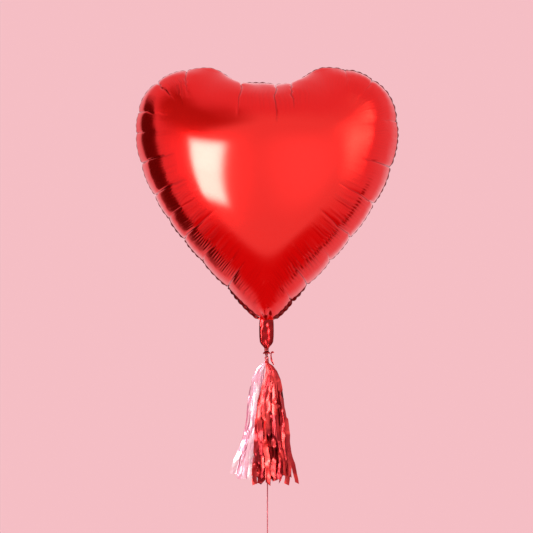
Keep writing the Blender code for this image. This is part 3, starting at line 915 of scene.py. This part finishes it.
def neck_ply(name, side):
    """One ply of the neck: soft upright folds that tighten into pleats at the tie."""
    table = np.array(NECK_PROFILE)[::-1]
    heights = np.linspace(46.0, 2.2, 90)
    angle = np.linspace(0.0, math.pi, 61)
    rim = np.sin(angle) ** 0.5
    rows = []
    for z, (wide, deep) in zip(heights, rows_at(heights, table[:, 0], table[:, 1:])):
        tight = 1.0 / (1.0 + math.exp((z - 9.0) / 2.0))
        ease = min(1.0, (46.0 - z) / 6.0)
        fold = (0.6 * np.sin(4.0 * angle + 0.06 * z * side)
                + 0.14 * np.sin(9.0 * angle + 0.11 * z + side)
                + 0.35 * np.sin(3.0 * angle - 0.2 * z) * math.sin(0.3 * z + side))
        pleat = 0.42 * np.cos(16.0 * angle)
        bulge = deep * np.sin(angle) + rim * ease * ((1 - tight) * fold + tight * pleat)
        dent = 0.9 * math.exp(-((z - 38.0) / 3.2) ** 2)
        bulge -= dent * np.exp(-((angle - 1.45) / 0.22) ** 2) * rim
        bulge -= 0.7 * dent * np.exp(-((angle - 0.7) / 0.2) ** 2) * rim
        rows.append(columns(-wide * np.cos(angle), side * np.maximum(bulge, 0.05), z) * MM)
    faces = [f[::side] for f in grid_faces(len(rows), len(angle))]
    return piece(name + "_film", np.concatenate(rows), faces, name, NECK, "neck", "red_foil")


def make_gathered_end():
    """The bunched film inside the tie, with a small frill below it."""
    table = np.array(GATHER_PROFILE)
    sides = 72
    angle = round_angles(sides)
    rows = []
    for z in np.linspace(3.4, -5.7, 40):
        frill = max(0.0, -(z + 2.4) / 3.4)
        pleat = 1.0 + (0.12 + 0.12 * frill) * np.cos(9 * angle + 0.15 * z)
        pleat += 0.05 * frill * np.sin(17 * angle)
        reach = np.interp(z, table[:, 0], table[:, 1]) * pleat
        rows.append(columns(reach * np.cos(angle), reach * np.sin(angle),
                            z + 0.4 * frill * np.sin(5 * angle + 1.0)) * MM)
    verts = np.concatenate(rows + [np.array([(0, 0, 3.4), (0, 0, -3.4)]) * MM])
    faces = grid_faces(len(rows), sides, closed=True)
    top, low = len(verts) - 2, len(verts) - 1
    last = (len(rows) - 1) * sides
    faces += [(top, (k + 1) % sides, k) for k in range(sides)]
    faces += [(low, last + k, last + (k + 1) % sides) for k in range(sides)]
    piece("neck_gathered_end", verts, faces, "neck_gather", NECK, "neck", "red_foil")


def coil(turns, rise, start=0.0, per_turn=36):
    """The angles of a coil's points, and how far along its axis each one is."""
    angle = start + math.tau * np.arange(int(per_turn * turns) + 1) / per_turn
    return angle, np.linspace(-0.5, 0.5, len(angle)) * rise


def make_tie():
    look = (STRING, "neck", "red_string")
    angle, along = coil(3.0, 4.65 * MM)
    wobble = 0.12 * MM * np.sin(2.7 * angle)
    radius = 3.15 * MM + wobble
    path = columns(radius * np.cos(angle), radius * np.sin(angle), along + wobble)
    piece("tie_string", *tube(path, rope_section(0.6 * MM, 7)), "tie_wraps", *look)
    t = np.linspace(0.0, math.tau, 90, endpoint=False)
    knot = columns(0.6 + 0.36 * (np.sin(t) + 2 * np.sin(2 * t)), -5.5 - 0.55 * np.sin(3 * t),
                   0.2 + 0.36 * (np.cos(t) - 2 * np.cos(2 * t))) * MM
    piece("tie_string_knot", *tube(knot, rope_section(0.5 * MM, 9), closed=True), "tie_knot",
          *look)


def make_hanger():
    """The knot under the tie, and the oblong loop that hangs in it."""
    angle, along = coil(2.75, 2.4 * MM, start=0.5 * math.pi)
    eye = columns(1.58 * MM * np.cos(angle), along, -7.0 * MM + 1.58 * MM * np.sin(angle))
    lead = np.array([(0.0, -0.3 * MM, -3.0 * MM), (0.0, -0.9 * MM, -4.6 * MM)])
    path = resample(np.concatenate([lead, eye]), 130)
    piece("hanger_eye_knot", *tube(path, rope_section(0.72 * MM, 8)), "hanger_knot", STRING,
          "hanger_knot", "red_string")
    half, bend = 2.6 * MM, 0.9 * MM
    points = []
    for y, z, start in ((half, -7.9, 90.0), (half, -10.8, 0.0), (-half, -10.8, -90.0),
                        (-half, -7.9, -180.0)):
        for k in range(8):
            turn = math.radians(start - 90.0 * k / 7)
            points.append((0.0, y + bend * math.cos(turn), z * MM + bend * math.sin(turn)))
    points.append(points[0])
    path = resample(np.array(points), 81)[:-1]
    piece("hanger_string_loop", *tube(path, rope_section(0.55 * MM, 8), closed=True),
          "hanger_loop", STRING, "tail", "red_string")


for neck_part, neck_side in (("neck_front_ply", -1), ("neck_back_ply", 1)):
    neck_ply(neck_part, neck_side)
make_gathered_end()
make_tie()
make_hanger()


# ---- tassels

CHANNEL = 1.8 * MM              # clear half width between the tassels, for the ribbon
RED_SECTIONS = (                # height, centre x, half width, half depth
    (-18.9, 0.3, 2.5, 2.6), (-24.0, 4.5, 7.0, 4.0), (-32.0, 7.5, 10.5, 5.5),
    (-45.0, 8.5, 16.0, 7.0), (-76.0, 5.5, 24.5, 9.0), (-110.0, 6.2, 27.5, 10.0),
    (-137.0, 7.0, 29.0, 10.5), (-170.0, 9.0, 32.5, 11.0), (-195.0, 7.5, 31.0, 11.0),
    (-204.0, 7.0, 29.0, 10.5))
PINK_SECTIONS = (
    (-18.9, -0.3, 2.5, 2.6), (-24.0, -5.5, 6.0, 4.0), (-32.0, -10.5, 8.0, 5.0),
    (-45.0, -13.5, 9.5, 6.5), (-76.0, -15.5, 13.5, 8.0), (-110.0, -17.0, 16.0, 9.5),
    (-137.0, -20.5, 17.0, 10.0), (-168.0, -27.5, 21.5, 10.5), (-190.0, -31.0, 22.5, 10.5),
    (-199.0, -31.0, 21.5, 10.0))
STRIP_HALF = 3.8 * MM
STRIP_ROWS = 84
STRIP_TOP = -17.6               # height in mm
STRIP_COLUMNS = 7
LAYERS = ((1.0, 8, 0.0), (0.55, 7, 0.1), (0.15, 6, -0.1))   # level, strips, shift
# The heads' fixed share between the painted lit and shaded film colours.
HEAD_TONE = 0.4
FLICKED = 0.85                  # strips beyond this share of the red front flick outwards
STRAND_ROUTE = ((10.8, -4.0), (9.2, -2.7), (7.4, -4.0), (6.8, -8.0), (7.7, -15.0),
                (10.0, -20.2), (10.9, -22.3))
LOOP_TILT = math.radians(14.0)


def crinkle(t, chance, waves=5):
    """A jagged line along a strip, between about -1 and 1."""
    total = np.zeros_like(t)
    for k in range(waves):
        count = chance.uniform(6.0, 26.0)
        phase = chance.uniform(0.0, 1.0)
        saw = 2.0 * np.abs(2.0 * ((count * t + phase) % 1.0) - 1.0) - 1.0
        total += saw / waves
    return total


def stepped(t, least, most, chance, sharp=0.02):
    """A line of level stretches joined by short steps, between least and most."""
    stops = np.sort(chance.uniform(0.06, 1.0, int(chance.integers(5, 10))))
    line = np.full_like(t, chance.uniform(least, most))
    for stop in stops:
        new = chance.uniform(least, most)
        ease = clamp((t - stop) / sharp + 0.5)
        line = line + (new - line) * ease * ease * (3.0 - 2.0 * ease)
    return line


def strip(sections, side, facing, across, level, bottom, chance):
    """One hanging strip of film.  across is -1..1 over the width, level 0..1 outwards."""
    table = np.array(sections)[::-1]
    t = np.linspace(0.0, 1.0, STRIP_ROWS)
    z = STRIP_TOP + (bottom - STRIP_TOP) * t
    centre, wide, deep = rows_at(z, table[:, 0], table[:, 1:]).T
    drift = chance.uniform(-0.16, 0.16) * np.sin(math.pi * t * chance.uniform(0.8, 1.7))
    drift += chance.uniform(-0.04, 0.04) * np.sin(9.0 * t + chance.uniform(0, 6))
    u = np.clip(across * (0.75 + 0.25 * t) + drift, -1.0, 1.0)
    half = STRIP_HALF / MM * np.clip(0.25 + 0.75 * (t / 0.22), 0.25, 1.0)
    shell = np.sqrt(clamp(1.0 - u * u))
    loose = np.clip(t / 0.25, 0.1, 1.0)
    x = centre + u * np.maximum(wide - 0.55 * half, 0.3)
    x += loose * stepped(t, -1.3, 1.3, chance, 0.09)
    y = side * (CHANNEL / MM + deep) + facing * (0.35 + (deep - 0.9) * shell * level)
    y += facing * loose * stepped(t, -0.6, 1.6, chance, 0.07)
    turn = np.arctan2(u * 0.6, 1.0) * level + chance.uniform(-0.8, 0.8) * t ** 1.5
    turn += loose * stepped(t, -0.95, 0.95, chance)
    along = np.cos(turn), facing * -np.sin(turn)
    fold = stepped(t, -0.6, 0.8, chance)
    jag = crinkle(t, chance)
    skew = chance.uniform(-4.5, 4.5)
    lines = []
    for q in np.linspace(-1.0, 1.0, STRIP_COLUMNS):
        edge = crinkle(t, chance, 3)
        lift = fold * (1.0 - abs(q)) * half * 0.45 + 0.3 * jag * math.cos(2.1 * q)
        lift = lift + 0.2 * edge * abs(q)
        lines.append(columns(x + q * half * along[0] + lift * -along[1] * facing,
                             y + q * half * along[1] + lift * along[0] * facing,
                             z + skew * q * t ** 12))
    points = np.stack(lines, axis=1)
    points[:, :, 0] += chance.uniform(-3.0, 3.0) * t[:, None] ** 4
    if level == 1.0 and facing < 0 and across > FLICKED:
        points[:, :, 0] += 13.0 * clamp((t[:, None] - 0.72) / 0.28) ** 1.5
    limit = CHANNEL / MM + 0.3 + chance.uniform(0.0, 1.6)
    over = (side * points[:, :, 1] - limit) / 0.4
    points[:, :, 1] = side * (limit + 0.4 * np.logaddexp(0.0, over))
    # Painted light and shade: the tone steps at random along the strip between the shaded and
    # lit colours, and inner layers are darker, as painted shade inside the bunch.
    tone = stepped(t, 0.0, 1.0, chance) ** 1.8 * (0.4 + 0.6 * level)
    return points.reshape(-1, 3) * MM, np.repeat(tone, STRIP_COLUMNS)


def fringe(name, sections, side, facing, node, look, seed):
    """One half of a tassel's fringe: strips in layers, the outer ones in front."""
    chance = np.random.default_rng(seed)
    end = sections[-1][0]
    strips, faces = [], []
    for level, number, shift in LAYERS:
        for k in range(number):
            across = -1.0 + 2.0 * (k + 0.5 + shift) / number
            across = min(1.0, max(-1.0, across + chance.uniform(-0.06, 0.06)))
            bottom = end + chance.uniform(0.0, 16.0) + 6.0 * (1.0 - level) * chance.uniform()
            first = len(strips) * STRIP_ROWS * STRIP_COLUMNS
            strips.append(strip(sections, side, facing, across, level, bottom, chance))
            faces += grid_faces(STRIP_ROWS, STRIP_COLUMNS, first=first)
    verts, tones = (np.concatenate(parts) for parts in zip(*strips))
    obj = piece(name, verts, faces, node, *look, tones)


def make_loop(name, side, node, look):
    """The twisted film loop over the hanger."""
    steps = round_angles(72)
    reach, thick = 2.1, 0.9
    centre_y = side * (1.95 + 2.2 * math.sin(LOOP_TILT))
    centre_z = -11.7 + 0.55 + thick + 0.1 - reach * math.cos(LOOP_TILT)
    up = reach * np.cos(steps)
    path = columns(reach * np.sin(steps), centre_y - up * math.sin(side * LOOP_TILT),
                   centre_z + up * math.cos(side * LOOP_TILT)) * MM
    rope = tube(path, rope_section(thick * MM, 18, plies=3, lay=0.3), closed=True)
    piece(name, *rope, node, *look, HEAD_TONE)


def make_band(name, side, node, look):
    """Film wound round the tassel's head, in overlapping turns."""
    sides = 40
    angle = round_angles(sides)
    rows = []
    for z in np.linspace(-15.2, -18.9, 26):
        wind = (z * 0.9 + angle / math.tau) % 1.0
        reach = 2.25 + 0.3 * wind + 0.08 * np.sin(7 * angle + 2.0 * z)
        if z > -15.6:
            reach = reach * (1.0 - 0.45 * (z + 15.6) / 0.4)
        rows.append(columns(reach * np.cos(angle), side * 4.6 + reach * np.sin(angle), z) * MM)
    verts = np.concatenate(rows)
    faces = grid_faces(len(rows), sides, closed=True)
    faces += [tuple(range(sides))[::-1], tuple(range(len(verts) - sides, len(verts)))]
    piece(name, verts, faces, node, *look, HEAD_TONE)


def make_strand():
    """A narrow twisted film end that stands up in a hook beside the red head."""
    path = smooth_path([(x * MM, -8.4 * MM, z * MM) for x, z in STRAND_ROUTE], 70)
    section = tape_section(1.35 * MM, 0.25 * MM, lambda k: 0.9 * math.sin(0.07 * k))
    piece("red_hooked_strand", *tube(path, section), "red_loose_strand", RED_FILM,
          "red_tassel", "red_film", 0.25)


def make_tassels():
    for colour, material, sections, side, seed in (
            ("red", RED_FILM, RED_SECTIONS, -1, 3), ("pink", PINK_FILM, PINK_SECTIONS, 1, 8)):
        body = colour + "_tassel"
        look = (material, body, colour + "_film")
        make_loop(body + "_twisted_loop", side, body + "_loop", look)
        make_band(body + "_wound_band", side, body + "_band", look)
        for part, facing, extra in (("outer", side, 0), ("inner", -side, 40)):
            fringe(f"{colour}_strips_{part}", sections, side, facing,
                   f"{colour}_fringe_{part}", look, seed + extra)
    make_strand()


make_tassels()


# ---- inner films

for node in ("valve_front_film", "valve_back_film"):
    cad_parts[node].data.materials.clear()
    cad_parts[node].data.materials.append(CLEAR)


# ---- studio

PINK_AIR = (0.915, 0.515, 0.555)
FLOOR_Z = -1.9
FLOOR_RADIUS = 9.0
MIDDLE = (0.0, 0.0, 0.26)
KEY_PLACE = (-1.13, -1.58, 0.31)
KEY_GLOW = 27.0
CARD_RADIUS = 1.9
WALL_RADIUS = 4.0
CARD_Z = 0.25


def aim(obj, place, target):
    """Puts the object at a place, facing the target."""
    obj.location = place
    turn = (Vector(target) - Vector(place)).to_track_quat("-Z", "Y")
    obj.rotation_euler = turn.to_euler()


def soft_light(name, place, size, watts, colour=(1.0, 1.0, 1.0), target=MIDDLE):
    data = bpy.data.lights.new(name, "AREA")
    data.shape = "RECTANGLE"
    data.size, data.size_y = size
    data.energy = watts
    data.color = colour
    obj = new_object(name, data)
    aim(obj, place, target)
    obj.visible_camera = False


def staged(name, verts, faces, material):
    """A surface of the studio, which is no part of the balloon."""
    mesh = mesh_from(name, verts, faces)
    mesh.materials.append(material)
    obj = new_object(name, mesh)
    return obj


def hidden_card(*surface):
    """A card in the studio that the camera doesn't see and that casts no shadow."""
    card = staged(*surface)
    card.visible_camera = False
    card.visible_shadow = False
    return card


def glow(tree, mask, colour, strength=1.0, **strength_from):
    """Light of that strength where the mask is 1, and clear where it is 0."""
    tree.nodes.remove(tree.nodes["Principled BSDF"])
    light = add_node(tree, "Emission", {"Color": (*colour, 1.0), "Strength": strength},
                     strength_from)
    clear = add_node(tree, "BsdfTransparent")
    mix = add_node(tree, "MixShader", (), {"Fac": mask, 1: clear.outputs["BSDF"],
                                           2: light.outputs["Emission"]})
    connect(tree, tree.nodes["Material Output"], (), {"Surface": mix.outputs["Shader"]})


def fading(tree, point, near, far):
    """1 up to the near distance from the point, and 0 from the far one on."""
    apart = add_node(tree, "VectorMath", {1: point}, {0: own_place(tree)},
                     operation="DISTANCE").outputs["Value"]
    return ranged(tree, apart, 1.0, 0.0, near, far, "SMOOTHSTEP")


def make_front_wall():
    """A wide pale wall behind the camera, brighter at the upper right."""
    rings, spokes = 14, 48
    verts = [(0.0, -WALL_RADIUS, CARD_Z)]
    for ring in range(1, rings + 1):
        polar = math.radians(70.0) * ring / rings
        reach = WALL_RADIUS * math.sin(polar)
        verts += [(reach * math.cos(turn), -WALL_RADIUS * math.cos(polar),
                   CARD_Z + reach * math.sin(turn)) for turn in round_angles(spokes)]
    faces = [(0, 1 + (k + 1) % spokes, 1 + k) for k in range(spokes)]
    faces += grid_faces(rings, spokes, closed=True, first=1)
    material, tree, _ = new_material("front_wall")
    bright = fading(tree, (1.4, -3.5, 0.6), 0.3, 2.2)
    glow(tree, fading(tree, (0.5, -3.9, 0.35), 2.9, 4.5), (1.0, 0.92, 0.83),
         Strength=ranged(tree, bright, 1.0, 1.3, 0.0, 1.0))
    hidden_card("front_wall", verts, faces, material)


def make_key_card():
    """The tall window-like softbox at the left, soft at its edges."""
    wide, high = 0.5, 0.76
    material, tree, _ = new_material("key_card")
    split = add_node(tree, "SeparateXYZ", (), {"Vector": own_place(tree)})
    masks = []
    for axis, half, soft in (("X", wide, 0.26), ("Y", high, 0.3)):
        off = add_node(tree, "Math", (), {0: split.outputs[axis]}, operation="ABSOLUTE")
        masks.append(ranged(tree, off.outputs["Value"], 1.0, 0.0, half - soft, half,
                            "SMOOTHSTEP"))
    glow(tree, combined(tree, "MULTIPLY", *masks), (1.0, 0.92, 0.8), KEY_GLOW)
    verts = [(-wide, -high, 0), (wide, -high, 0), (wide, high, 0), (-wide, high, 0)]
    card = hidden_card("key_card", verts, [(0, 1, 2, 3)], material)
    aim(card, KEY_PLACE, (0.0, 0.0, 0.27))
    card.visible_diffuse = False


def make_side_card(name, first, last, near, far, colour, soft):
    """A soft-edged strip bent round the balloon, from one angle to another."""
    share, across = np.linspace(0.0, 1.0, 48), np.linspace(0.0, 1.0, 12)
    verts = []
    for angle in first + (last - first) * share:
        turn = math.radians(angle)
        for y in np.linspace(near, far, len(across)):
            verts.append((CARD_RADIUS * math.cos(turn), y,
                          CARD_Z + CARD_RADIUS * math.sin(turn)))
    material, tree, _ = new_material(name)
    glow(tree, point_value(tree, "cover"), colour)
    card = hidden_card(name, verts, grid_faces(len(share), len(across)), material)
    mask = np.outer(clamp(np.minimum(share, 1.0 - share) / soft),
                    clamp(np.minimum(across, 1.0 - across) / soft)).ravel()
    set_values(card.data, "cover", mask * mask * (3.0 - 2.0 * mask))
    card.visible_diffuse = False


def make_floor():
    angle = round_angles(96)
    rim = columns(FLOOR_RADIUS * np.cos(angle), FLOOR_RADIUS * np.sin(angle), FLOOR_Z)
    material, tree, shader = new_material("floor")
    tone = ranged(tree, noise(tree, 2.0), 0.0, 1.0)
    connect(tree, shader, {"Roughness": 0.8},
            {"Base Color": two_tone(tree, tone, (0.93, 0.6, 0.63), (0.9, 0.56, 0.6))})
    floor = staged("floor", np.concatenate([[(0.0, 0.0, FLOOR_Z)], rim]),
                   [(0, 1 + k, 1 + (k + 1) % 96) for k in range(96)], material)
    floor.visible_glossy = False


def make_studio():
    world = bpy.data.worlds.new("studio")
    SCENE.world = world
    world.use_nodes = True
    connect(world.node_tree, world.node_tree.nodes["Background"],
            {"Color": (*PINK_AIR, 1.0), "Strength": 1.0})
    make_floor()
    make_front_wall()
    make_key_card()
    make_side_card("dark_left", 138.0, 240.0, -0.42, 1.25, (0.13, 0.015, 0.012), 0.22)
    make_side_card("deep_low", 196.0, 344.0, -1.9, 0.3, (0.72, 0.05, 0.06), 0.25)
    make_side_card("dark_right", 296.0, 352.0, -0.25, 0.4, (0.3, 0.02, 0.02), 0.4)
    make_side_card("warm_right", -14.0, 50.0, -1.9, -0.45, (4.2, 3.3, 2.4), 0.5)
    make_side_card("dim_high", 92.0, 172.0, -2.3, -0.2, (0.5, 0.12, 0.1), 0.35)
    soft_light("key", KEY_PLACE, (0.7, 1.3), 7.0, (1.0, 0.95, 0.88), (0.0, 0.0, 0.0))
    soft_light("rear", (0.5, 3.4, 0.9), (2.4, 2.4), 2.0)
    SCENE.view_settings.view_transform = "Standard"
    SCENE.view_settings.look = "None"


make_studio()
